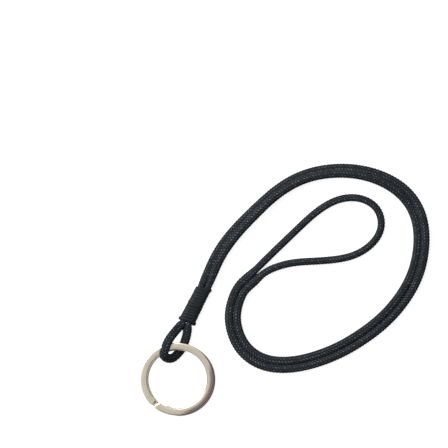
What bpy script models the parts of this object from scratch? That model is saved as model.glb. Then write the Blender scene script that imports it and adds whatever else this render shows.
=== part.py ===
"""Doubled-cord lanyard with a split ring, laid down on a flat surface.

One length of braided cord makes the whole lanyard. It runs doubled for most of its way, opens into
a loop for the hand or neck at the far end, and makes a small eye through the split ring at the near
end. Its two cut ends butt together under the twine whipping that binds both strands.

Metres, +Z up. The surface is z = 0, and the origin is under the middle of the ring and whipping.
"""

from math import asin, atan2, cos, hypot, pi, radians, sin

import bpy
import numpy as np

MM = 0.001

# Cord: a braided cover over a soft core. It is squeezed thinner where it is bound or bent hard.
CORD_DIAMETER = 3.5 * MM
COVER_WALL = 0.55 * MM
BOUND_DIAMETER = 2.9 * MM
EYE_DIAMETER = 3.2 * MM
GAP = 0.3 * MM
END_GAP = 0.4 * MM
PAIR_STATIONS = 22
LOOP_STATIONS = 19
EYE_STATIONS = 19
FINE_STEPS = 40

# Whipping: flat waxed twine wound side by side round both strands. The strands run straight for the
# margin past each end of it, and BOUND_LEAD is how far back inside it their line is carried.
TWINE_WIDTH = 1.15 * MM
TWINE_THICKNESS = 0.5 * MM
TWINE_PITCH = 1.45 * MM
TWINE_TURNS = 12.5
POINTS_PER_CAP = 5
TWINE_SIDES = 8
BOUND_MARGIN = 1.0 * MM
BOUND_LEAD = (8 * MM, 4 * MM, 0.0)
WHIPPING_MOUTH = (3.59 * MM, 13.45 * MM)
WHIPPING_HEADING = radians(61.0)

# Split ring: two turns of flat spring wire with a step between them.
RING_DIAMETER = 35.0 * MM
WIRE_WIDTH = 3.4 * MM
WIRE_THICKNESS = 1.15 * MM
TURN_GAP = 0.1 * MM
WIRE_CHAMFER = 0.25 * MM
LOWER_END = radians(252.0)
STEP_START = radians(592.0)
STEP_END = radians(608.0)
UPPER_END = radians(948.0)
RING_STEP = radians(6.0)
EYE_ON_RING = (-1.75 * MM, 1.78 * MM)
EYE_BEARING = radians(96.6)
EYE_HALF_SPAN = 4.18 * MM
SWING_CLEARANCE = 0.1 * MM

# Middle line of the doubled cord from the whipping to the fork: x, y in millimetres, and the roll of
# the pair in degrees. A positive roll lifts the strand on the inside of the big curve.
PAIR_ROUTE = (
    (17.4, 41.3, 26),
    (22.4, 49.9, 38),
    (28.7, 57.7, 40),
    (35.7, 64.9, 41),
    (43.0, 71.8, 42),
    (51.0, 77.8, 41),
    (60.0, 82.2, 40),
    (69.8, 84.5, 38),
    (79.8, 84.9, 34),
    (89.7, 83.4, 30),
    (99.1, 79.8, 20),
    (107.2, 73.9, 4),
    (112.7, 65.6, -12),
    (114.9, 55.9, -18),
    (114.5, 45.9, -16),
    (112.1, 36.2, -8),
    (107.6, 27.2, 0),
    (101.6, 19.2, 0),
    (94.4, 12.2, 0),
    (86.3, 6.2, 0),
    (77.7, 1.1, 0),
    (68.5, -2.9, 0),
    (58.8, -5.7, 0),
    (48.9, -6.7, 0),
    (39.1, -4.8, 0),
    (31.1, 1.1, 0),
    (26.7, 10.1, 0),
    (26.3, 20.1, 0),
    (29.6, 28.6, 0),
    (32.4, 33.6, 0),
)

# Middle line of the far loop, from the outer strand round to the inner strand: x, y.
LOOP_ROUTE = (
    (39.0, 40.7),
    (46.0, 47.4),
    (53.0, 54.1),
    (60.0, 60.8),
    (67.5, 67.0),
    (76.2, 71.4),
    (85.8, 71.9),
    (93.9, 67.0),
    (95.8, 57.7),
    (90.6, 49.6),
    (82.2, 44.8),
    (72.7, 42.9),
    (63.0, 42.2),
    (53.3, 41.3),
    (44.0, 38.6),
    (39.8, 36.3),
)

# Middle line of the eye, from the outer strand over the ring, round and back under the ring: x, y,
# and the lift, which is 0 on the surface and 1 where the strand rides over the ring.
EYE_ROUTE = (
    (0.4, 11.3, 0.20),
    (-1.8, 8.6, 0.52),
    (-3.8, 5.9, 0.84),
    (-5.3, 2.9, 0.99),
    (-6.1, 0.4, 1.00),
    (-6.5, -1.6, 0.93),
    (-5.2, -3.1, 0.72),
    (-3.6, -3.5, 0.47),
    (-2.1, -3.1, 0.25),
    (-0.1, -1.4, 0.06),
    (1.8, 1.0, 0.00),
    (3.0, 3.9, 0.00),
    (4.0, 8.2, 0.02),
)


def clear_scene():
    for obj in list(bpy.data.objects):
        bpy.data.objects.remove(obj)


def new_collection(name):
    collection = bpy.data.collections.new(name)
    bpy.context.scene.collection.children.link(collection)
    return collection


def material(name, colour, roughness, metallic=0.0):
    made = bpy.data.materials.new(name)
    made.use_nodes = True
    shader = made.node_tree.nodes["Principled BSDF"]
    shader.inputs["Base Color"].default_value = (*colour, 1.0)
    shader.inputs["Roughness"].default_value = roughness
    shader.inputs["Metallic"].default_value = metallic
    return made


def smooth_curve(points, keep=(0, -1)):
    """A natural cubic spline through the points, as dense points with their lengths along it.

    Only the stretch between the two points that keep names is returned."""
    points = np.array(points, float)
    steps = np.linalg.norm(np.diff(points[:, :3], axis=0), axis=1)
    chord = np.concatenate([[0.0], np.cumsum(steps)])
    count = len(points)
    system = np.eye(count)
    right = np.zeros_like(points)
    for i in range(1, count - 1):
        before, after = steps[i - 1], steps[i]
        system[i, i - 1 : i + 2] = before, 2 * (before + after), after
        right[i] = 6 * ((points[i + 1] - points[i]) / after - (points[i] - points[i - 1]) / before)
    bend = np.linalg.solve(system, right)
    at = np.linspace(chord[keep[0]], chord[keep[1]], FINE_STEPS * count)
    k = np.clip(np.searchsorted(chord, at, side="right") - 1, 0, count - 2)
    a = ((chord[k + 1] - at) / steps[k])[:, None]
    b = 1 - a
    curl = (a**3 - a) * bend[k] + (b**3 - b) * bend[k + 1]
    dense = a * points[k] + b * points[k + 1] + curl * (steps[k][:, None] ** 2) / 6
    moved = np.linalg.norm(np.diff(dense[:, :3], axis=0), axis=1)
    return dense, np.concatenate([[0.0], np.cumsum(moved)])


def stations(curve, count):
    """That many rows spread evenly along a smooth curve, both ends included."""
    dense, along = curve
    at = np.linspace(0, along[-1], count)
    return np.stack([np.interp(at, along, column) for column in dense.T], axis=1)


def side_by_side(middle, heading, roll, diameter):
    """The two strands of a pair: the outer one, then the inner one, each as x, y, z, diameter.

    The lower strand lies on the surface. Outer means left of the heading."""
    spacing = diameter + GAP
    left = np.stack([-np.sin(heading), np.cos(heading)], axis=1)
    across = (spacing * np.cos(roll) / 2)[:, None] * left
    rise = spacing * np.sin(roll)
    low = diameter / 2
    outer = np.column_stack([middle + across, low + np.maximum(-rise, 0), diameter])
    inner = np.column_stack([middle - across, low + np.maximum(rise, 0), diameter])
    return outer, inner


def whipping_frame():
    """The mouth, the far end and the direction of the whipping's axis, all in plan."""
    along = np.array([cos(WHIPPING_HEADING), sin(WHIPPING_HEADING)])
    mouth = np.array(WHIPPING_MOUTH)
    return mouth, mouth + along * TWINE_PITCH * TWINE_TURNS, along


def bound_strands(centre):
    """Both strands at a point of the whipping's axis, lifted clear of the surface by the twine."""
    middle = np.array([centre])
    diameter = np.array([BOUND_DIAMETER])
    pair = side_by_side(middle, np.array([WHIPPING_HEADING]), np.zeros(1), diameter)
    for strand in pair:
        strand[:, 2] += TWINE_THICKNESS + GAP
    return pair


def ring_facts():
    """The split ring's radius, thickness, tilt and centre, and the point its swing turns about.

    It rests on the inner leg of the eye and, at the far side, on the surface."""
    middle_radius = (RING_DIAMETER - WIRE_WIDTH) / 2
    thickness = 2 * WIRE_THICKNESS + TURN_GAP
    reach = hypot(WIRE_WIDTH, thickness) / 2 + SWING_CLEARANCE
    axis_distance = (middle_radius**2 - EYE_HALF_SPAN**2) ** 0.5
    axis_height = EYE_DIAMETER + reach
    tilt = asin((axis_height - thickness / 2) / (RING_DIAMETER / 2 + axis_distance))
    toward = np.array([cos(EYE_BEARING), sin(EYE_BEARING)])
    centre = np.array(EYE_ON_RING) - toward * axis_distance * np.array([1, cos(tilt)])
    height = RING_DIAMETER / 2 * sin(tilt) + thickness / 2 * cos(tilt)
    pivot = np.array([*EYE_ON_RING, height + axis_distance * toward[1] * sin(tilt)])
    return {
        "radius": middle_radius,
        "thickness": thickness,
        "reach": reach,
        "tilt": tilt,
        "centre": np.array([*centre, height]),
        "pivot": pivot,
        "pivot_in_plane": toward * axis_distance,
    }


def cord_rows():
    """The whole cord from cut end to cut end, as rows of x, y, z and diameter."""
    mouth, far, along = whipping_frame()
    margin = along * BOUND_MARGIN
    top_outer, top_inner = bound_strands(far + margin)
    mouth_outer, mouth_inner = bound_strands(mouth - margin)
    butt = (mouth + far) / 2
    butt_step = along * END_GAP / 2
    _, start = bound_strands(butt + butt_step)
    _, finish = bound_strands(butt - butt_step)

    lead = [(*(far + margin - along * back), 0.0, 0.0) for back in BOUND_LEAD]
    route = lead + [(x * MM, y * MM, 0.0, radians(roll)) for x, y, roll in PAIR_ROUTE]
    pair_curve = smooth_curve(route, keep=(2, -1))
    rows = stations(pair_curve, PAIR_STATIONS)[1:]
    ahead = np.gradient(rows[:, :2], axis=0)
    ahead[0] = rows[1, :2] - (far + margin)
    heading = np.arctan2(ahead[:, 1], ahead[:, 0])
    pair_diameter = np.full(len(rows), CORD_DIAMETER)
    outer, inner = side_by_side(rows[:, :2], heading, rows[:, 3], pair_diameter)

    low = CORD_DIAMETER / 2
    loop = [(x * MM, y * MM, low) for x, y in LOOP_ROUTE]
    loop = [*outer[-3:, :3], *loop, *inner[:-4:-1, :3]]
    loop = stations(smooth_curve(loop, keep=(2, -3)), LOOP_STATIONS)[1:-1]
    loop = np.column_stack([loop, np.full(len(loop), CORD_DIAMETER)])

    ring = ring_facts()
    under = EYE_DIAMETER / 2
    over = ring["pivot"][2] + ring["reach"] + EYE_DIAMETER / 2
    eye = [(x * MM, y * MM, under + lift * (over - under)) for x, y, lift in EYE_ROUTE]
    before = bound_strands(mouth + margin)[0]
    after = bound_strands(mouth + margin)[1]
    eye = [before[0, :3], mouth_outer[0, :3], *eye, mouth_inner[0, :3], after[0, :3]]
    eye = stations(smooth_curve(eye, keep=(1, -2)), EYE_STATIONS)[1:-1]
    eye = np.column_stack([eye, np.full(len(eye), EYE_DIAMETER)])

    outward = [start, top_inner, inner, loop[::-1], outer[::-1], top_outer]
    return np.vstack([*outward, mouth_outer, eye, mouth_inner, finish])


def tube(name, rows, radii, look, collection, capped):
    """A tube that follows the rows, with its own radius at each of them."""
    curve = bpy.data.curves.new(name, "CURVE")
    curve.dimensions = "3D"
    curve.bevel_depth = max(radii)
    curve.bevel_resolution = 2
    curve.use_fill_caps = capped
    spline = curve.splines.new("POLY")
    spline.points.add(len(rows) - 1)
    for point, place, radius in zip(spline.points, rows[:, :3], radii):
        point.co = (*place, 1.0)
        point.radius = radius / max(radii)
    curve.materials.append(look)
    obj = bpy.data.objects.new(name, curve)
    collection.objects.link(obj)
    return obj


def profile(name, outline, guides):
    """A closed flat outline that a curve is bevelled with."""
    curve = bpy.data.curves.new(name, "CURVE")
    curve.dimensions = "2D"
    curve.fill_mode = "NONE"
    spline = curve.splines.new("POLY")
    spline.points.add(len(outline) - 1)
    for point, (x, y) in zip(spline.points, reversed(outline)):
        point.co = (x, y, 0.0, 1.0)
    spline.use_cyclic_u = True
    obj = bpy.data.objects.new(name, curve)
    obj.hide_render = True
    obj.display_type = "WIRE"
    guides.objects.link(obj)
    return obj


def swept(name, path, section, look, collection):
    """A wire of the given section along a path, its section kept upright to local Z."""
    curve = bpy.data.curves.new(name, "CURVE")
    curve.dimensions = "3D"
    curve.twist_mode = "Z_UP"
    curve.bevel_mode = "OBJECT"
    curve.bevel_object = section
    curve.use_fill_caps = True
    spline = curve.splines.new("POLY")
    spline.points.add(len(path) - 1)
    for point, place in zip(spline.points, path):
        point.co = (*place, 1.0)
    curve.materials.append(look)
    obj = bpy.data.objects.new(name, curve)
    collection.objects.link(obj)
    return obj


def make_cord(parts):
    rows = cord_rows()
    outside = rows[:, 3] / 2
    black = material("black_polyester", (0.028, 0.032, 0.037), 0.75)
    cover = tube("braided_cover", rows, outside, black, parts, capped=False)
    wall = cover.modifiers.new("wall", "SOLIDIFY")
    wall.thickness = COVER_WALL
    wall.offset = -1.0

    white = material("core_fibre", (0.55, 0.54, 0.50), 0.9)
    inside = outside - COVER_WALL - GAP
    tube("cord_core", rows, inside, white, parts, capped=True)


def winding(half_flat, cap_radius):
    """One turn of a flat-sided winding in plan, as points on two round caps."""
    angles = np.linspace(-pi / 2, pi / 2, POINTS_PER_CAP + 1)
    right = [(half_flat + cap_radius * cos(a), cap_radius * sin(a)) for a in angles]
    left = [(-x, -y) for x, y in right]
    return right + left


def make_whipping(parts, guides):
    mouth, _, along = whipping_frame()
    cap_radius = BOUND_DIAMETER / 2 + GAP + TWINE_THICKNESS / 2
    turn = winding((BOUND_DIAMETER + GAP) / 2, cap_radius)
    count = round(TWINE_TURNS * len(turn)) + 1
    rise = (TWINE_PITCH * TWINE_TURNS - TWINE_WIDTH) / (count - 1)
    path = [(*turn[i % len(turn)], TWINE_WIDTH / 2 + rise * i) for i in range(count)]
    half = (TWINE_THICKNESS / 2, TWINE_WIDTH / 2)
    angles = np.linspace(0, 2 * pi, TWINE_SIDES, endpoint=False)
    oval = [(half[0] * cos(a), half[1] * sin(a)) for a in angles]
    section = profile("twine_section", oval, guides)
    waxed = material("waxed_twine", (0.022, 0.025, 0.028), 0.6)
    whipping = swept("whipping_twine", path, section, waxed, parts)
    whipping.location = (*mouth, cap_radius + TWINE_THICKNESS / 2)
    whipping.rotation_euler = (-pi / 2, 0.0, atan2(along[1], along[0]) - pi / 2)


def wire_height(angle, drop):
    """Height of the wire's middle: the lower turn, the step up and the upper turn."""
    share = (angle - STEP_START) / (STEP_END - STEP_START)
    share = min(max(share, 0.0), 1.0)
    return drop * (share * share * (3 - 2 * share) - 0.5)


def make_ring(parts, guides):
    ring = ring_facts()
    half_width, half_thick = WIRE_WIDTH / 2, WIRE_THICKNESS / 2
    cut_width, cut_thick = half_width - WIRE_CHAMFER, half_thick - WIRE_CHAMFER
    corner = [(half_width, cut_thick), (cut_width, half_thick)]
    upper = corner + [(-x, y) for x, y in reversed(corner)]
    outline = upper + [(-x, -y) for x, y in upper]
    section = profile("wire_section", outline, guides)
    count = round((UPPER_END - LOWER_END) / RING_STEP) + 1
    angles = np.linspace(LOWER_END, UPPER_END, count)
    drop = WIRE_THICKNESS + TURN_GAP
    path = []
    for angle in angles:
        x, y = ring["radius"] * np.array([cos(angle), sin(angle)]) - ring["pivot_in_plane"]
        path.append((x, y, wire_height(angle, drop)))
    steel = material("nickel_plated_steel", (0.62, 0.57, 0.48), 0.3, 1.0)
    obj = swept("split_ring", path, section, steel, parts)
    obj.location = ring["pivot"]
    obj.rotation_euler = (ring["tilt"], 0.0, 0.0)


def main():
    clear_scene()
    parts = new_collection("Lanyard")
    guides = new_collection("Guides")
    make_cord(parts)
    make_whipping(parts, guides)
    make_ring(parts, guides)


main()
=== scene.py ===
"""A lanyard of braided cord, folded double, bound with twine and holding a flat split ring."""

from math import cos, pi, radians, sin

import bpy
import numpy as np
from mathutils import Matrix, Vector


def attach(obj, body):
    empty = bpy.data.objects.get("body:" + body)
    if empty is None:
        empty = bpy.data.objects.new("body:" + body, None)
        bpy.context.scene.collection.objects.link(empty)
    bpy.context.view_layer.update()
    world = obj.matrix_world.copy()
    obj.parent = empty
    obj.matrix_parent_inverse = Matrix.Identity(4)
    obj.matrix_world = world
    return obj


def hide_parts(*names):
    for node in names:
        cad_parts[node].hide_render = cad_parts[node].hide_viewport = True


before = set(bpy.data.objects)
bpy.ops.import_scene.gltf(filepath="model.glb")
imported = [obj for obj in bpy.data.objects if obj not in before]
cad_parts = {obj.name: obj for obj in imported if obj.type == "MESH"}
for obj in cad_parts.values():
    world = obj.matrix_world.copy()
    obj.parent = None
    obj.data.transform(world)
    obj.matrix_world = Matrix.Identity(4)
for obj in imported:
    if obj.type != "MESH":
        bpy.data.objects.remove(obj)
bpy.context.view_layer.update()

# ---- Camera -------------------------------------------------------------------------------------
# It looks straight down on the lanyard through a long lens, so that raised parts keep their place.
VIEW_CENTRE = (0.02176, 0.05983)
VIEW_WIDTH = 0.2119
LENS = 200.0
SENSOR = 36.0

camera_data = bpy.data.cameras.new("camera")
camera_data.lens = LENS
camera_data.sensor_width = SENSOR
camera_data.clip_start = 0.01
camera = bpy.data.objects.new("camera", camera_data)
camera.location = (*VIEW_CENTRE, VIEW_WIDTH * LENS / SENSOR)
bpy.context.scene.collection.objects.link(camera)
bpy.context.scene.camera = camera

# ---- Braided cord -------------------------------------------------------------------------------
# One length of round polyester cord: 24 thin bundles of filament, braided two over, two under, round
# a soft core. It is folded double, with a loop at the far end and the eye at the near end, and both
# cut ends are hidden in the whipping.
MM = 0.001
BRAID_LAY = 17.4 * MM  # one full turn of a bundle round the cord
BUNDLES_PER_WAY = 12
STEPS_PER_CROSSING = 2
BUNDLE_RELIEF = 0.28 * MM
BUNDLE_ROUNDNESS = 0.7  # less makes the back of a bundle broader
SQUARENESS = 0.72  # 1 would be an oval section; less makes its top flatter and its sides steeper

CREST_HIGHLIGHT_SHARPNESS = 1.7  # how narrowly the painted highlight keeps to the middle of each bundle
# Colours from painted shade in the hollows between bundles to a painted glint on their crests.
YARN_SHADE_TO_GLINT_TONES = (
    (0.03, (0.0074, 0.0090, 0.0120)),
    (0.25, (0.0148, 0.0182, 0.0216)),
    (0.70, (0.155, 0.182, 0.195)),
)
FILAMENT_SHARE = 0.55  # how much each of the three kinds of variation counts in the tone
BUNDLE_SHARE = 0.35
PATCH_SHARE = 0.20
PATCH_SCALE = 45.0
SHADE_COUNT = 4096
SHADE_SEED = 7
SHADE_STRIDES = (61, 127)
FILAMENT_STRETCH = (1.1, 9.0, 1.0)
FILAMENT_DEPTH = 0.06 * MM
YARN_ROUGHNESS = (0.42, 0.66)
YARN_ANISOTROPY = 0.8
YARN_GLOSS = 0.08

# Each stretch of the cord has its own width and height, because it is squashed where it bends.
PAIR_SIZE = (4.30 * MM, 3.50 * MM)
TIGHT_PAIR_SIZE = (4.40 * MM, 3.40 * MM)
LOOP_SIZE = (3.65 * MM, 3.45 * MM)
EYE_SIZE = (4.40 * MM, 3.20 * MM)
BOUND_SIZE = (3.50 * MM, 3.00 * MM)
PAIR_OVERLAP = 0.65 * MM  # the strands press their soft sides together
TIGHT_OVERLAP = 1.75 * MM
BOUND_OVERLAP = 0.40 * MM
TIGHT_UNTIL = 0.10  # shares of the pair's length, from the whipping
SLACK_FROM = 0.46
PAIR_POINTS = 44
LOOP_POINTS = 38
EYE_POINTS = 30
LEAD_STEP = 4 * MM  # between the points that lead the pair straight out of the whipping
MEASURING_POINTS = 3000

# Middle line of the doubled cord from the whipping to the fork: x, y in metres, and the roll of the
# pair in degrees. A positive roll lifts the strand on the inside of the big curve.
PAIR_ROUTE = (
    (0.0174, 0.0413, 6),
    (0.0224, 0.0499, 12),
    (0.0287, 0.0577, 24),
    (0.0357, 0.0649, 34),
    (0.0430, 0.0718, 42),
    (0.0510, 0.0778, 41),
    (0.0600, 0.0822, 40),
    (0.0698, 0.0845, 38),
    (0.0798, 0.0849, 34),
    (0.0897, 0.0834, 30),
    (0.0991, 0.0798, 20),
    (0.1072, 0.0739, 4),
    (0.1127, 0.0656, -12),
    (0.1149, 0.0559, -18),
    (0.1145, 0.0459, -16),
    (0.1121, 0.0362, -8),
    (0.1076, 0.0272, 0),
    (0.1016, 0.0192, 0),
    (0.0944, 0.0122, 0),
    (0.0863, 0.0062, 0),
    (0.0777, 0.0011, 0),
    (0.0685, -0.0029, 0),
    (0.0588, -0.0057, 0),
    (0.0489, -0.0067, 0),
    (0.0391, -0.0048, 0),
    (0.0311, 0.0011, 0),
    (0.0267, 0.0101, 0),
    (0.0263, 0.0201, 0),
    (0.0297, 0.0286, 0),
    (0.0318, 0.0317, 0),
    (0.0352, 0.0343, 0),
)

# Middle line of the far loop, from the outer strand round to the inner strand: x, y in metres.
LOOP_ROUTE = (
    (0.0392, 0.0407),
    (0.0460, 0.0474),
    (0.0530, 0.0541),
    (0.0600, 0.0608),
    (0.0675, 0.0670),
    (0.0762, 0.0714),
    (0.0858, 0.0719),
    (0.0939, 0.0670),
    (0.0958, 0.0577),
    (0.0906, 0.0496),
    (0.0822, 0.0448),
    (0.0727, 0.0429),
    (0.0630, 0.0422),
    (0.0533, 0.0413),
    (0.0450, 0.0389),
    (0.0408, 0.0367),
)

# Middle line of the eye, over the ring, round and back under it: x, y in metres, and the lift,
# which is 0 on the surface and 1 where the cord rides over the ring.
EYE_ROUTE = (
    (0.0006, 0.0113, 0.20),
    (-0.0018, 0.0086, 0.52),
    (-0.0038, 0.0059, 0.84),
    (-0.0053, 0.0029, 0.99),
    (-0.0061, 0.0004, 1.00),
    (-0.0065, -0.0016, 0.93),
    (-0.0052, -0.0031, 0.72),
    (-0.0036, -0.0035, 0.47),
    (-0.0021, -0.0031, 0.25),
    (-0.0001, -0.0014, 0.06),
    (0.0018, 0.0010, 0.00),
    (0.0031, 0.0039, 0.00),
    (0.0043, 0.0082, 0.02),
)
EYE_LOW = 1.6 * MM
EYE_RISE = 7.54 * MM

# The whipping's place decides where both strands run straight and close together.
WHIP_MOUTH = np.array((4.02 * MM, 13.45 * MM))
WHIP_HEADING = radians(63.0)
WHIP_ALONG = np.array((cos(WHIP_HEADING), sin(WHIP_HEADING)))
WHIP_LENGTH = 18.125 * MM
WHIP_HEIGHT = 2.25 * MM
WHIP_MARGIN = 1.0 * MM
CUT_END_GAP = 0.4 * MM


def smooth_line(points, count, first=0, last=-1):
    """That many rows, evenly spaced on the natural cubic spline through the points."""
    points = np.array(points, float)
    steps = np.linalg.norm(np.diff(points[:, :3], axis=0), axis=1)
    chord = np.concatenate([[0.0], np.cumsum(steps)])
    system = np.eye(len(points))
    right = np.zeros_like(points)
    for i in range(1, len(points) - 1):
        before, after = steps[i - 1], steps[i]
        system[i, i - 1 : i + 2] = before, 2 * (before + after), after
        right[i] = 6 * ((points[i + 1] - points[i]) / after - (points[i] - points[i - 1]) / before)
    bend = np.linalg.solve(system, right)
    at = np.linspace(chord[first], chord[last], 4 * count)
    k = np.clip(np.searchsorted(chord, at, side="right") - 1, 0, len(points) - 2)
    a = ((chord[k + 1] - at) / steps[k])[:, None]
    b = 1 - a
    curl = (a**3 - a) * bend[k] + (b**3 - b) * bend[k + 1]
    dense = a * points[k] + b * points[k + 1] + curl * (steps[k][:, None] ** 2) / 6
    moved = np.linalg.norm(np.diff(dense[:, :3], axis=0), axis=1)
    along = np.concatenate([[0.0], np.cumsum(moved)])
    even = np.linspace(0, along[-1], count)
    return np.stack([np.interp(even, along, column) for column in dense.T], axis=1)


def pair_of_strands(middle, heading, roll, sizes, overlap):
    """The outer and the inner strand of a pair, as rows of x, y, z, width and height."""
    spacing = sizes[:, 0] - overlap
    left = np.stack([-np.sin(heading), np.cos(heading)], axis=1)
    across = (spacing * np.cos(roll) / 2)[:, None] * left
    rise = spacing * np.sin(roll)
    outer = np.column_stack([middle + across, sizes[:, 1] / 2 + np.maximum(-rise, 0), sizes])
    inner = np.column_stack([middle - across, sizes[:, 1] / 2 + np.maximum(rise, 0), sizes])
    return outer, inner


def bound_pair(centre):
    """Both strands at a point of the whipping's axis."""
    heading = np.array([WHIP_HEADING])
    sizes = np.array([BOUND_SIZE])
    pair = pair_of_strands(centre[None, :], heading, np.zeros(1), sizes, BOUND_OVERLAP)
    for strand in pair:
        strand[:, 2] = WHIP_HEIGHT
    return pair


def whole_cord():
    """The cord from cut end to cut end, as rows of x, y, z, width and height."""
    top = WHIP_MOUTH + WHIP_ALONG * (WHIP_LENGTH + WHIP_MARGIN)
    bottom = WHIP_MOUTH - WHIP_ALONG * WHIP_MARGIN
    middle = WHIP_MOUTH + WHIP_ALONG * WHIP_LENGTH / 2
    start = bound_pair(middle + WHIP_ALONG * CUT_END_GAP / 2)[1]
    finish = bound_pair(middle - WHIP_ALONG * CUT_END_GAP / 2)[1]

    lead = [(*(top - WHIP_ALONG * back), 0.0, 0.0) for back in (2 * LEAD_STEP, LEAD_STEP, 0.0)]
    route = lead + [(x, y, 0.0, radians(roll)) for x, y, roll in PAIR_ROUTE]
    rows = smooth_line(route, PAIR_POINTS, first=2)[1:]
    ahead = np.gradient(rows[:, :2], axis=0)
    heading = np.arctan2(ahead[:, 1], ahead[:, 0])
    share = np.linspace(0, 1, len(rows))
    slack = np.clip((share - TIGHT_UNTIL) / (SLACK_FROM - TIGHT_UNTIL), 0, 1)
    sizes = np.outer(1 - slack, TIGHT_PAIR_SIZE) + np.outer(slack, PAIR_SIZE)
    overlap = TIGHT_OVERLAP + slack * (PAIR_OVERLAP - TIGHT_OVERLAP)
    outer, inner = pair_of_strands(rows[:, :2], heading, rows[:, 3], sizes, overlap)

    loop = [(x, y, LOOP_SIZE[1] / 2) for x, y in LOOP_ROUTE]
    loop = [*outer[-4:, :3], *loop, *inner[:-5:-1, :3]]
    loop = smooth_line(loop, LOOP_POINTS, first=3, last=-4)[1:-1]
    loop = np.column_stack([loop, np.full((len(loop), 2), LOOP_SIZE)])

    eye = [(x, y, EYE_LOW + lift * EYE_RISE) for x, y, lift in EYE_ROUTE]
    legs = bound_pair(WHIP_MOUTH + WHIP_ALONG * WHIP_MARGIN)
    mouth = bound_pair(bottom)
    eye = [legs[0][0, :3], mouth[0][0, :3], *eye, mouth[1][0, :3], legs[1][0, :3]]
    eye = smooth_line(eye, EYE_POINTS, first=1, last=-2)[1:-1]
    eye = np.column_stack([eye, np.full((len(eye), 2), EYE_SIZE)])

    bound_top = bound_pair(top)
    out = [start, bound_top[1], inner, loop[::-1], outer[::-1], bound_top[0]]
    return np.vstack([*out, mouth[0], eye, mouth[1], finish])


def across_and_up(line):
    """For each row, the sideways and the upward direction of the section."""
    ahead = np.gradient(line[:, :3], axis=0)
    ahead /= np.linalg.norm(ahead, axis=1)[:, None]
    across = np.cross(ahead, (0.0, 0.0, 1.0))
    across /= np.linalg.norm(across, axis=1)[:, None]
    return across, np.cross(across, ahead)


def crest(along, over):
    """How far a bundle stands out, from 0 at its edges to 1, at shares of its length and width."""
    back = np.sin(pi * np.clip(over, 0, 1)) ** BUNDLE_ROUNDNESS
    return np.sin(pi * np.clip(along, 0, 1)) * back


def float_of(cell_u, cell_v):
    """For crossings of the braid: whether the first family is on top, and the step in its float."""
    column = (cell_u - cell_v) % 4
    return column < 2, np.where(column < 2, column, 3 - column)


def braid_relief(u, v):
    """Relief at points of the crossing grid, where u and v count in steps of a crossing."""
    best = np.zeros(u.shape)
    for back_u in (0, 1):
        for back_v in (0, 1):
            cell_u = (u - back_u) // STEPS_PER_CROSSING
            cell_v = (v - back_v) // STEPS_PER_CROSSING
            in_u, in_v = u / STEPS_PER_CROSSING - cell_u, v / STEPS_PER_CROSSING - cell_v
            first, step = float_of(cell_u, cell_v)
            along = np.where(first, step + in_u, step + in_v) / 2
            best = np.maximum(best, crest(along, np.where(first, in_v, in_u)))
    return best


def superellipse(wave):
    """A cosine or sine, flattened so that the section it makes is squarish."""
    return np.sign(wave) * np.abs(wave) ** SQUARENESS


def braided_mesh(name, line):
    """A closed tube faceted along the crossings of the braid, with a map that follows the yarn."""
    around = BUNDLES_PER_WAY * STEPS_PER_CROSSING
    k = np.arange(len(line))[:, None]
    m = np.arange(around)[None, :]
    odd = k % 2
    u, v = (k + odd) // 2 + m, (k - odd) // 2 - m
    out = (braid_relief(u, v) - 1) * BUNDLE_RELIEF
    turn = (m + odd / 2) * 2 * pi / around
    across, up = across_and_up(line)
    side = (line[:, 3:4] / 2 + out) * superellipse(np.cos(turn))
    rise = (line[:, 4:5] / 2 + out) * superellipse(np.sin(turn))
    places = line[:, None, :3] + side[:, :, None] * across[:, None] + rise[:, :, None] * up[:, None]
    vertices = np.vstack([places.reshape(-1, 3), line[0, :3], line[-1, :3]])

    base = k[:-2] * around
    right = (m + odd[:-2]) % around
    left = (m - 1 + odd[:-2]) % around
    following_rows = base + around
    quads = [base + m, following_rows + right, following_rows + around + m, following_rows + left]
    quads = np.stack(quads, 2).reshape(-1, 4)
    ends = []
    for row, centre, flip in ((0, len(vertices) - 2, 1), (len(line) - 1, len(vertices) - 1, -1)):
        near = 1 if row == 0 else row - 1
        for i in range(around):
            here, following = row * around + i, row * around + (i + 1) % around
            shift = i if row % 2 == 0 else i + 1
            ends.append([here, following, near * around + shift % around][::flip])
            ends.append([here, centre, following][::flip])
    mesh = bpy.data.meshes.new(name)
    mesh.from_pydata(vertices, [], [*quads.tolist(), *ends])
    mesh.polygons.foreach_set("use_smooth", [True] * len(mesh.polygons))

    flat_u, flat_v = u[:-2].ravel(), v[:-2].ravel()
    cell_u, cell_v = flat_u // STEPS_PER_CROSSING, flat_v // STEPS_PER_CROSSING
    first, step = float_of(cell_u, cell_v)
    corners = np.stack([(flat_u + a, flat_v + b) for a, b in ((0, 0), (1, 0), (1, 1), (0, 1))], 0)
    run = np.where(first, corners[:, 0], corners[:, 1]) / STEPS_PER_CROSSING
    over = np.where(first, corners[:, 1], corners[:, 0]) / STEPS_PER_CROSSING
    yarn_map = np.zeros((len(mesh.loops), 2))
    yarn_map[: 4 * len(quads)] = np.stack([run.T.ravel(), over.T.ravel()], 1)
    mesh.uv_layers.new(name="yarn")
    mesh.uv_layers["yarn"].data.foreach_set("uv", yarn_map.ravel())

    float_u = np.where(first, cell_u - step, cell_u)
    float_v = np.where(first, cell_v, cell_v - step)
    shades = np.random.default_rng(SHADE_SEED).random(SHADE_COUNT)
    shade = np.zeros(len(mesh.polygons))
    drawn = float_u * SHADE_STRIDES[0] + float_v * SHADE_STRIDES[1]
    shade[: len(quads)] = shades[drawn % SHADE_COUNT]
    depth = np.append(out.ravel() / BUNDLE_RELIEF + 1, [0.0, 0.0])
    mesh.attributes.new("relief", "FLOAT", "POINT").data.foreach_set("value", depth)
    mesh.attributes.new("shade", "FLOAT", "FACE").data.foreach_set("value", shade)
    return mesh


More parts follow.
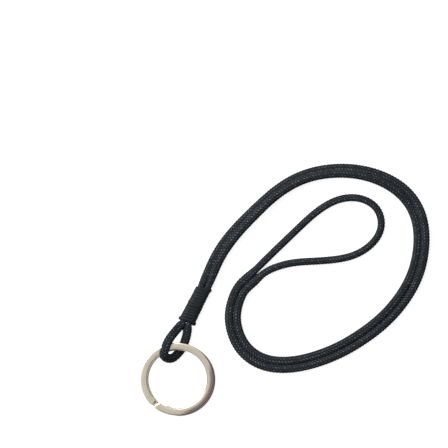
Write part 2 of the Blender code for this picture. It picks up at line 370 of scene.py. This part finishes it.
def place_node(tree, kind, inputs=(), **settings):
    """Adds a node, and fills its inputs, each by name or number, from a value or a socket."""
    made = tree.nodes.new(kind)
    for name, value in settings.items():
        setattr(made, name, value)
    for key, value in dict(inputs).items():
        if isinstance(value, bpy.types.NodeSocket):
            tree.links.new(value, made.inputs[key])
        else:
            made.inputs[key].default_value = value
    return made


def maths(tree, operation, *values):
    """The result of one sum on values or sockets."""
    return place_node(tree, "ShaderNodeMath", enumerate(values), operation=operation).outputs[0]


def eased(tree, value, low, high, at_low, at_high, kind="SMOOTHSTEP"):
    """Goes from at_low to at_high while the value goes from low to high."""
    limits = {0: value, 1: low, 2: high, 3: at_low, 4: at_high}
    return place_node(tree, "ShaderNodeMapRange", limits, interpolation_type=kind).outputs[0]


def noise(tree, place, scale=1.0, detail=3.0):
    """Soft noise from 0 to 1 at the given place."""
    values = {"Vector": place, "Scale": scale, "Detail": detail}
    return place_node(tree, "ShaderNodeTexNoise", values).outputs[0]


def attribute(tree, name):
    """A value stored on the mesh."""
    return place_node(tree, "ShaderNodeAttribute", attribute_name=name).outputs["Fac"]


def roughen(tree, shader, height, tone, roughness, strength, depth):
    """Gives a surface its roughness from one pattern and its fine bump from another."""
    rough = eased(tree, tone, 0.3, 0.7, *roughness, kind="LINEAR")
    tree.links.new(rough, shader.inputs["Roughness"])
    bump = {"Strength": strength, "Distance": depth, "Height": height}
    bump = place_node(tree, "ShaderNodeBump", bump).outputs[0]
    tree.links.new(bump, shader.inputs["Normal"])


def ramp(tree, value, *stops):
    """A colour ramp with the given (place, colour) stops."""
    node = place_node(tree, "ShaderNodeValToRGB", {0: value})
    elements = node.color_ramp.elements
    while len(elements) < len(stops):
        elements.new(0.5)
    for element, (at, colour) in zip(elements, stops):
        element.position = at
        element.color = (*colour, 1.0)
    return node.outputs[0]


def new_material(name):
    """A new material, its node tree and its shader."""
    made = bpy.data.materials.new(name)
    made.use_nodes = True
    return made, made.node_tree, made.node_tree.nodes["Principled BSDF"]


def black_yarn():
    """Black filament yarn: fine lines along each bundle, a painted highlight where a bundle stands
    out and painted shade in the hollows between bundles.
    """
    made, tree, shader = new_material("black_braided_polyester")
    yarn = place_node(tree, "ShaderNodeUVMap", uv_map="yarn").outputs[0]
    lines = place_node(tree, "ShaderNodeMapping", {0: yarn, 3: FILAMENT_STRETCH}).outputs[0]
    filament = noise(tree, lines)
    place = place_node(tree, "ShaderNodeTexCoord").outputs["Object"]
    patch = noise(tree, place, scale=PATCH_SCALE, detail=2.0)
    tone = maths(tree, "MULTIPLY", filament, FILAMENT_SHARE)
    tone = maths(tree, "ADD", tone, maths(tree, "MULTIPLY", attribute(tree, "shade"), BUNDLE_SHARE))
    tone = maths(tree, "ADD", tone, maths(tree, "MULTIPLY", patch, PATCH_SHARE))
    # Painted light: the relief makes the colour light on the crests of the bundles and dark in the
    # hollows between them.
    raised = maths(tree, "POWER", attribute(tree, "relief"), CREST_HIGHLIGHT_SHARPNESS)
    tone = maths(tree, "MULTIPLY", tone, raised)
    tree.links.new(ramp(tree, tone, *YARN_SHADE_TO_GLINT_TONES), shader.inputs["Base Color"])
    roughen(tree, shader, filament, filament, YARN_ROUGHNESS, 0.5, FILAMENT_DEPTH)
    tangent = {"direction_type": "UV_MAP", "uv_map": "yarn"}
    tangent = place_node(tree, "ShaderNodeTangent", **tangent).outputs[0]
    tree.links.new(tangent, shader.inputs["Tangent"])
    shader.inputs["Anisotropic"].default_value = YARN_ANISOTROPY
    shader.inputs["Specular IOR Level"].default_value = YARN_GLOSS
    return made


rows = whole_cord()
rough_line = smooth_line(rows, MEASURING_POINTS)
cord_length = float(np.linalg.norm(np.diff(rough_line[:, :3], axis=0), axis=1).sum())
steps_per_lay = 2 * BUNDLES_PER_WAY * STEPS_PER_CROSSING
cord_line = smooth_line(rows, round(cord_length / BRAID_LAY * steps_per_lay) + 1)
cord_mesh = braided_mesh("braided_cord", cord_line)
cord_mesh.materials.append(black_yarn())
braided_cord = bpy.data.objects.new("braided_cord", cord_mesh)
bpy.context.scene.collection.objects.link(braided_cord)
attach(braided_cord, "lanyard")
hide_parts("braided_cover", "cord_core")

# ---- Whipping -----------------------------------------------------------------------------------
# A flat waxed twine wound tightly round both strands, each turn against the last. Its two ends are
# tucked under the outermost turns, so they dive inwards.
TWINE_TURNS = 12.5
TWINE_FIRST_ANGLE = radians(-35.0)
TWINE_PITCH = 1.45 * MM
TWINE_LOW = 0.6 * MM  # how far the first turn has slipped past the mouth
TWINE_WIDTH = 1.60 * MM
TWINE_THICKNESS = 0.50 * MM
TWINE_SLANT = 0.15  # the turns lie a little askew across the strands
TWINE_FLAT = 1.50 * MM
TWINE_CAP = 1.82 * MM
TWINE_FLARE = 0.40 * MM  # the first and last turns stand out, over the tucked ends
TWINE_LOOSENESS = 0.42 * MM
TWINE_UNEVENNESS = 0.50 * MM
WANDER_RATE = 2.3  # how quickly the unevenness changes from turn to turn
FLARE_TURNS = (0.2, 1.2)  # the flare fades over these turns from either end
TUCK_TURNS = 0.1
TUCK_DEPTH = 1.0 * MM
SIDE_STEEPNESS = 3.0  # how sharply the winding goes from its flat sides round its caps
POINTS_PER_TURN = 40
TWINE_SIDES = 12
TWINE_TONES = ((0.3, (0.0032, 0.0041, 0.0054)), (0.75, (0.0140, 0.0170, 0.0200)))
STRAND_STRETCH = (14.0, 26.0)
STRAND_DEPTH = 0.06 * MM
TWINE_ROUGHNESS = (0.30, 0.5)
TWINE_GLOSS = 0.10


def path_tree(name, inputs):
    """A geometry tree with the named inputs, and a line of points to be bent into a path."""
    tree = bpy.data.node_groups.new(name, "GeometryNodeTree")
    for label in inputs:
        tree.interface.new_socket(label, in_out="INPUT", socket_type="NodeSocketFloat")
    tree.interface.new_socket("Points", in_out="INPUT", socket_type="NodeSocketInt")
    tree.interface.new_socket("Material", in_out="INPUT", socket_type="NodeSocketMaterial")
    tree.interface.new_socket("Mesh", in_out="OUTPUT", socket_type="NodeSocketGeometry")
    given = tree.nodes.new("NodeGroupInput").outputs
    line = place_node(tree, "GeometryNodeCurvePrimitiveLine").outputs[0]
    line = {0: line, "Count": given["Points"]}
    line = place_node(tree, "GeometryNodeResampleCurve", line).outputs[0]
    share = place_node(tree, "GeometryNodeSplineParameter").outputs["Factor"]
    return tree, given, line, share


def grow(name, tree, values, material, place):
    """Runs a geometry tree on an empty mesh, and gives its plain result, put in place."""
    host = bpy.data.objects.new(name, bpy.data.meshes.new(name))
    bpy.context.scene.collection.objects.link(host)
    modifier = host.modifiers.new("grow", "NODES")
    modifier.node_group = tree
    for item in tree.interface.items_tree:
        if item.item_type == "SOCKET" and item.in_out == "INPUT" and item.name in values:
            modifier[item.identifier] = values[item.name]
        if item.item_type == "SOCKET" and item.name == "Material":
            modifier[item.identifier] = material
    depsgraph = bpy.context.evaluated_depsgraph_get()
    made = bpy.data.meshes.new_from_object(host.evaluated_get(depsgraph))
    made.name = name
    host.modifiers.clear()
    host.data = made
    made.transform(place)
    return host


def sweep(tree, path, section, along, around, material, scale=1.0):
    """The section swept upright along the path, with marks along and around it, and a material."""
    upright = place_node(tree, "GeometryNodeSetCurveNormal", {0: path}, mode="Z_UP").outputs[0]
    store = "GeometryNodeStoreNamedAttribute"
    marked = place_node(tree, store, {0: upright, "Name": "along", "Value": along}).outputs[0]
    ringed = place_node(tree, store, {0: section, "Name": "around", "Value": around}).outputs[0]
    swept = {0: marked, 1: ringed, "Scale": scale, "Fill Caps": True}
    swept = place_node(tree, "GeometryNodeCurveToMesh", swept)
    real = place_node(tree, "GeometryNodeRealizeInstances", {0: swept.outputs[0]}).outputs[0]
    return place_node(tree, "GeometryNodeSetMaterial", {0: real, "Material": material}).outputs[0]


def winding_tree():
    """Twine wound in a flat-sided helix round a pair of strands."""
    names = ("Turns", "Pitch", "Flat", "Cap", "Flare", "First Angle", "Width", "Thickness")
    names += ("Slant", "Looseness", "Unevenness")
    tree, given, line, share = path_tree("wound_twine", names)
    turned = maths(tree, "MULTIPLY", share, given["Turns"])
    angle = maths(tree, "ADD", maths(tree, "MULTIPLY", turned, 2 * pi), given["First Angle"])
    wander = {"W": maths(tree, "MULTIPLY", turned, WANDER_RATE), "Scale": 1.0, "Detail": 1.0}
    wander = place_node(tree, "ShaderNodeTexNoise", wander, noise_dimensions="1D").outputs[0]
    wander = maths(tree, "MULTIPLY", maths(tree, "SUBTRACT", wander, 0.5), given["Unevenness"])
    end = maths(tree, "MINIMUM", turned, maths(tree, "SUBTRACT", given["Turns"], turned))
    tuck = eased(tree, end, 0.0, TUCK_TURNS, -TUCK_DEPTH, 0.0)
    tuck = maths(tree, "ADD", tuck, eased(tree, end, *FLARE_TURNS, given["Flare"], 0.0))
    loose = maths(tree, "MULTIPLY", maths(tree, "SUBTRACT", 1.0, share), given["Looseness"])
    cap = maths(tree, "ADD", given["Cap"], tuck)
    cap = maths(tree, "ADD", cap, maths(tree, "ADD", loose, wander))
    steep = maths(tree, "MULTIPLY", given["Flat"], SIDE_STEEPNESS)
    wide = maths(tree, "MULTIPLY", maths(tree, "COSINE", angle), steep)
    low = maths(tree, "MULTIPLY", given["Flat"], -1.0)
    wide = place_node(tree, "ShaderNodeClamp", {0: wide, 1: low, 2: given["Flat"]}).outputs[0]
    x = maths(tree, "ADD", wide, maths(tree, "MULTIPLY", cap, maths(tree, "COSINE", angle)))
    y = maths(tree, "MULTIPLY", given["Cap"], maths(tree, "SINE", angle))
    z = maths(tree, "ADD", maths(tree, "MULTIPLY", turned, given["Pitch"]), wander)
    z = maths(tree, "ADD", z, maths(tree, "MULTIPLY", x, given["Slant"]))
    place = place_node(tree, "ShaderNodeCombineXYZ", {0: x, 1: y, 2: z}).outputs[0]
    path = place_node(tree, "GeometryNodeSetPosition", {0: line, "Position": place}).outputs[0]
    circle = {"Resolution": TWINE_SIDES, "Radius": 0.5}
    circle = place_node(tree, "GeometryNodeCurvePrimitiveCircle", circle, mode="RADIUS").outputs[0]
    oval = {0: given["Thickness"], 1: given["Width"], 2: 1.0}
    oval = place_node(tree, "ShaderNodeCombineXYZ", oval).outputs[0]
    section = {0: circle, "Scale": oval}
    section = place_node(tree, "GeometryNodeTransform", section).outputs[0]
    mesh = sweep(tree, path, section, turned, share, given["Material"])
    tree.links.new(mesh, tree.nodes.new("NodeGroupOutput").inputs[0])
    return tree


def waxed_twine():
    """Black waxed twine: fine strands lengthwise, shiny where the wax is thick."""
    made, tree, shader = new_material("black_waxed_twine")
    along = maths(tree, "MULTIPLY", attribute(tree, "along"), STRAND_STRETCH[0])
    around = maths(tree, "MULTIPLY", attribute(tree, "around"), STRAND_STRETCH[1])
    strand = noise(tree, place_node(tree, "ShaderNodeCombineXYZ", {0: along, 1: around}).outputs[0])
    tree.links.new(ramp(tree, strand, *TWINE_TONES), shader.inputs["Base Color"])
    roughen(tree, shader, strand, strand, TWINE_ROUGHNESS, 0.5, STRAND_DEPTH)
    shader.inputs["Specular IOR Level"].default_value = TWINE_GLOSS
    return made


axis = Vector((*WHIP_ALONG, 0.0))
sideways = Vector((axis.y, -axis.x, 0.0))
whip_place = Matrix((sideways, axis.cross(sideways), axis)).transposed().to_4x4()
whip_place.translation = Vector((*WHIP_MOUTH, WHIP_HEIGHT)) + axis * (TWINE_WIDTH / 2 - TWINE_LOW)
whip_values = {
    "Turns": TWINE_TURNS,
    "Pitch": TWINE_PITCH,
    "Flat": TWINE_FLAT,
    "Cap": TWINE_CAP,
    "Flare": TWINE_FLARE,
    "First Angle": TWINE_FIRST_ANGLE,
    "Width": TWINE_WIDTH,
    "Thickness": TWINE_THICKNESS,
    "Slant": TWINE_SLANT,
    "Looseness": TWINE_LOOSENESS,
    "Unevenness": TWINE_UNEVENNESS,
    "Points": round(TWINE_TURNS * POINTS_PER_TURN),
}
whipping = grow("whipping", winding_tree(), whip_values, waxed_twine(), whip_place)
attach(whipping, "lanyard")
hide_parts("whipping_twine")

# ---- Split ring ---------------------------------------------------------------------------------
# Flat spring wire coiled twice, nickel plated. It has a cut end at each side and a sharp step where
# the lower turn passes up into the upper one. It leans on the eye, and rests on its far rim.
RING_CENTRE = (-0.0003287, -0.0132321, 0.0034251)
RING_TILT = radians(7.3373)
RING_RADIUS = 15.75 * MM
WIRE_WIDTH = 3.3 * MM
WIRE_THICKNESS = 1.15 * MM
WIRE_EDGE = 0.42 * MM
EDGE_SPREAD = 1.45  # how much broader than high the rounding of the wire's edges is
TURN_GAP = 0.04 * MM
LOWER_TURN_SHIFT = (0.60 * MM, -0.50 * MM)
END_INSET = 0.60 * MM  # how far the lower free end has sprung inwards
INSET_FADE = 0.45  # radians from that end over which it joins the circle
WIRE_START = radians(246.0)
STEP_START = radians(586.0)
STEP_END = radians(594.0)
WIRE_END = radians(944.5)
NECK_SHARE = 0.40  # the wire is narrowed at the step, level with its inner edge
NECK_START = radians(584.5)
NECK_END = radians(593.5)
NECK_BLEND = radians(0.8)
RING_POINTS = 1000
EDGE_POINTS = 6
CREASE_ANGLE = radians(40.0)

PLATE_TONES = ((0.32, (0.47, 0.42, 0.33)), (0.68, (0.66, 0.60, 0.50)))
PLATE_ROUGHNESS = (0.34, 0.22)
LINE_STRETCH = (2.5, 34.0)  # of the rolling lines, along the wire and across it
LINE_DEPTH = 0.03 * MM
LINE_SHARE = 0.8
WEAR_SHARE = 0.2
WEAR_SCALE = 260.0
DULL_EDGE = (0.74, 0.68, 0.59, 1.0)
EDGE_BAND = (0.30, 0.47)  # shares of the wire's width from its middle
# Painted shade and dark reflection: on the side away from the light, the edges and the outer half of
# the face are darkened.
SHADE_PAINTED_EDGE = (0.30, 0.25, 0.23, 1.0)
SHADE_PAINTED_FACE = (0.25, 0.205, 0.185, 1.0)
SHADE_SIDE_TOWARDS = (0.86, -0.5, 0.0)
EDGE_SHADE_REACH = (0.006, 0.019)  # metres that way, from none to full
FACE_SHADE_REACH = (0.0150, 0.0195)
FACE_SHADE_BAND = (-0.20, 0.08)  # shares of the width: the outer half of the face


def coil_tree():
    """Flat wire coiled twice, stepping up from the lower turn to the upper one."""
    names = ("Radius", "Width", "Thickness", "Edge", "Gap", "Start", "Step Start", "Step End")
    names += ("End", "Spread", "Shift X", "Shift Y", "Inset")
    names += ("Neck", "Neck Start", "Neck End", "Blend")
    tree, given, line, share = path_tree("coiled_wire", names)
    sweep_angle = maths(tree, "SUBTRACT", given["End"], given["Start"])
    angle = maths(tree, "ADD", maths(tree, "MULTIPLY", share, sweep_angle), given["Start"])
    level = eased(tree, angle, given["Step Start"], given["Step End"], 0.0, 1.0)
    lower = maths(tree, "SUBTRACT", 1.0, level)
    from_end = maths(tree, "SUBTRACT", angle, given["Start"])
    sprung = eased(tree, from_end, 0.0, INSET_FADE, given["Inset"], 0.0)
    before = maths(tree, "SUBTRACT", given["Neck Start"], angle)
    beyond = maths(tree, "MAXIMUM", before, maths(tree, "SUBTRACT", angle, given["Neck End"]))
    whole = eased(tree, beyond, 0.0, given["Blend"], given["Neck"], 1.0, kind="LINEAR")
    lost = maths(tree, "MULTIPLY", maths(tree, "SUBTRACT", 1.0, whole), given["Width"])
    inwards = maths(tree, "ADD", sprung, maths(tree, "DIVIDE", lost, 2.0))
    radius = maths(tree, "SUBTRACT", given["Radius"], inwards)
    x = maths(tree, "MULTIPLY", maths(tree, "COSINE", angle), radius)
    x = maths(tree, "ADD", x, maths(tree, "MULTIPLY", lower, given["Shift X"]))
    y = maths(tree, "MULTIPLY", maths(tree, "SINE", angle), radius)
    y = maths(tree, "ADD", y, maths(tree, "MULTIPLY", lower, given["Shift Y"]))
    drop = maths(tree, "ADD", given["Thickness"], given["Gap"])
    z = maths(tree, "MULTIPLY", maths(tree, "SUBTRACT", level, 0.5), drop)
    place = place_node(tree, "ShaderNodeCombineXYZ", {0: x, 1: y, 2: z}).outputs[0]
    path = place_node(tree, "GeometryNodeSetPosition", {0: line, "Position": place}).outputs[0]
    narrow = maths(tree, "DIVIDE", given["Width"], given["Spread"])
    flat = {"Width": narrow, "Height": given["Thickness"]}
    flat = place_node(tree, "GeometryNodeCurvePrimitiveQuadrilateral", flat).outputs[0]
    rounded = {0: flat, "Count": EDGE_POINTS, "Radius": given["Edge"], "Limit Radius": True}
    rounded = place_node(tree, "GeometryNodeFilletCurve", rounded, mode="POLY").outputs[0]
    broad = {0: given["Spread"], 1: 1.0, 2: 1.0}
    broad = place_node(tree, "ShaderNodeCombineXYZ", broad).outputs[0]
    rounded = place_node(tree, "GeometryNodeTransform", {0: rounded, "Scale": broad}).outputs[0]
    section_place = place_node(tree, "GeometryNodeInputPosition").outputs[0]
    across = place_node(tree, "ShaderNodeSeparateXYZ", {0: section_place}).outputs[0]
    across = maths(tree, "DIVIDE", across, given["Width"])
    mesh = sweep(tree, path, rounded, angle, across, given["Material"], whole)
    tree.links.new(mesh, tree.nodes.new("NodeGroupOutput").inputs[0])
    return tree


def mixed(tree, share, first, second):
    """The first colour where the share is 0, and the second where it is 1."""
    colours = {0: share, 6: first, 7: second}
    return place_node(tree, "ShaderNodeMix", colours, data_type="RGBA").outputs[2]


def nickel_plate():
    """Satin nickel with a warm cast: fine rolling lines, dull edges, and painted shade and dark
    reflection on the side away from the light.
    """
    made, tree, shader = new_material("nickel_plated_steel")
    shader.inputs["Metallic"].default_value = 1.0
    along, around = attribute(tree, "along"), attribute(tree, "around")
    drawn = {n: maths(tree, "MULTIPLY", (along, around)[n], LINE_STRETCH[n]) for n in (0, 1)}
    lines = noise(tree, place_node(tree, "ShaderNodeCombineXYZ", drawn).outputs[0])
    place = place_node(tree, "ShaderNodeTexCoord").outputs["Object"]
    wear = maths(tree, "MULTIPLY", noise(tree, place, scale=WEAR_SCALE, detail=4.0), WEAR_SHARE)
    tone = maths(tree, "ADD", maths(tree, "MULTIPLY", lines, LINE_SHARE), wear)
    edge = eased(tree, maths(tree, "ABSOLUTE", around), *EDGE_BAND, 0.0, 1.0)
    towards = {0: place, 1: SHADE_SIDE_TOWARDS}
    towards = place_node(tree, "ShaderNodeVectorMath", towards, operation="DOT_PRODUCT")
    towards = towards.outputs["Value"]
    # Painted shade: darker edges and outer face towards the side away from the light.
    rim = eased(tree, towards, *EDGE_SHADE_REACH, 0.0, 1.0)
    outer = eased(tree, around, *FACE_SHADE_BAND, 0.0, 1.0)
    painted_face_shade = maths(tree, "MULTIPLY", outer, eased(tree, towards, *FACE_SHADE_REACH, 0.0, 1.0))
    face = mixed(tree, painted_face_shade, ramp(tree, tone, *PLATE_TONES), SHADE_PAINTED_FACE)
    colour = mixed(tree, edge, face, mixed(tree, rim, DULL_EDGE, SHADE_PAINTED_EDGE))
    tree.links.new(colour, shader.inputs["Base Color"])
    roughen(tree, shader, lines, tone, PLATE_ROUGHNESS, 0.3, LINE_DEPTH)
    return made


ring_values = {
    "Radius": RING_RADIUS,
    "Width": WIRE_WIDTH,
    "Thickness": WIRE_THICKNESS,
    "Edge": WIRE_EDGE,
    "Gap": TURN_GAP,
    "Start": WIRE_START,
    "Step Start": STEP_START,
    "Step End": STEP_END,
    "End": WIRE_END,
    "Shift X": LOWER_TURN_SHIFT[0],
    "Shift Y": LOWER_TURN_SHIFT[1],
    "Spread": EDGE_SPREAD,
    "Inset": END_INSET,
    "Neck": NECK_SHARE,
    "Neck Start": NECK_START,
    "Neck End": NECK_END,
    "Blend": NECK_BLEND,
    "Points": RING_POINTS,
}
ring_place = Matrix.Translation(RING_CENTRE) @ Matrix.Rotation(RING_TILT, 4, "X")
split_ring = grow("key_ring", coil_tree(), ring_values, nickel_plate(), ring_place)
split_ring.data.set_sharp_from_angle(angle=CREASE_ANGLE)
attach(split_ring, "ring")
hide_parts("split_ring")

# ---- Floor and light ----------------------------------------------------------------------------
# A plain pale floor that glows, so that shadows stay faint, a surround that is brightest towards
# the light and dim on the far side, and one broad soft light from the upper left.
FLOOR_SIZE = 4.0
FLOOR_HEIGHT = -0.0002
FLOOR_TONE = (0.20, 0.20, 0.20, 1.0)
FLOOR_ROUGHNESS = 0.9
FLOOR_GLOW = 0.86
LIGHT_FROM = (-0.56, 0.38, 0.74)
SURROUND_GREYS = ((0.0, 0.04), (0.3, 0.25), (0.6, 0.8), (0.95, 1.0))
SURROUND_STRENGTH = 1.3
KEY_POWER = 10.0
KEY_SIZE = 0.7
KEY_DISTANCE = 0.8

floor_mesh = bpy.data.meshes.new("floor")
half = FLOOR_SIZE / 2
outline = ((-half, -half), (half, -half), (half, half), (-half, half))
floor_mesh.from_pydata([(x, y, FLOOR_HEIGHT) for x, y in outline], [], [(0, 1, 2, 3)])
floor_look, _, floor_shader = new_material("pale_floor")
floor_shader.inputs["Base Color"].default_value = FLOOR_TONE
floor_shader.inputs["Roughness"].default_value = FLOOR_ROUGHNESS
floor_shader.inputs["Emission Color"].default_value = (1.0, 1.0, 1.0, 1.0)
floor_shader.inputs["Emission Strength"].default_value = FLOOR_GLOW
floor_mesh.materials.append(floor_look)
floor = bpy.data.objects.new("floor", floor_mesh)
bpy.context.scene.collection.objects.link(floor)

# White has to stay white on the floor while the cord stays black, so tones aren't compressed.
bpy.context.scene.view_settings.view_transform = "Standard"

world = bpy.data.worlds.new("surround")
world.use_nodes = True
sky = world.node_tree
towards = place_node(sky, "ShaderNodeTexCoord").outputs["Generated"]
facing = {0: towards, 1: LIGHT_FROM}
facing = place_node(sky, "ShaderNodeVectorMath", facing, operation="DOT_PRODUCT")
greys = [(at, (grey, grey, grey)) for at, grey in SURROUND_GREYS]
brightness = ramp(sky, facing.outputs["Value"], *greys)
sky.links.new(brightness, sky.nodes["Background"].inputs["Color"])
sky.nodes["Background"].inputs["Strength"].default_value = SURROUND_STRENGTH
bpy.context.scene.world = world

key_data = bpy.data.lights.new("key", "AREA")
key_data.energy = KEY_POWER
key_data.size = KEY_SIZE
key = bpy.data.objects.new("key", key_data)
key.location = Vector((*VIEW_CENTRE, 0.0)) + Vector(LIGHT_FROM) * KEY_DISTANCE
key.rotation_euler = Vector(LIGHT_FROM).to_track_quat("Z", "Y").to_euler()
bpy.context.scene.collection.objects.link(key)
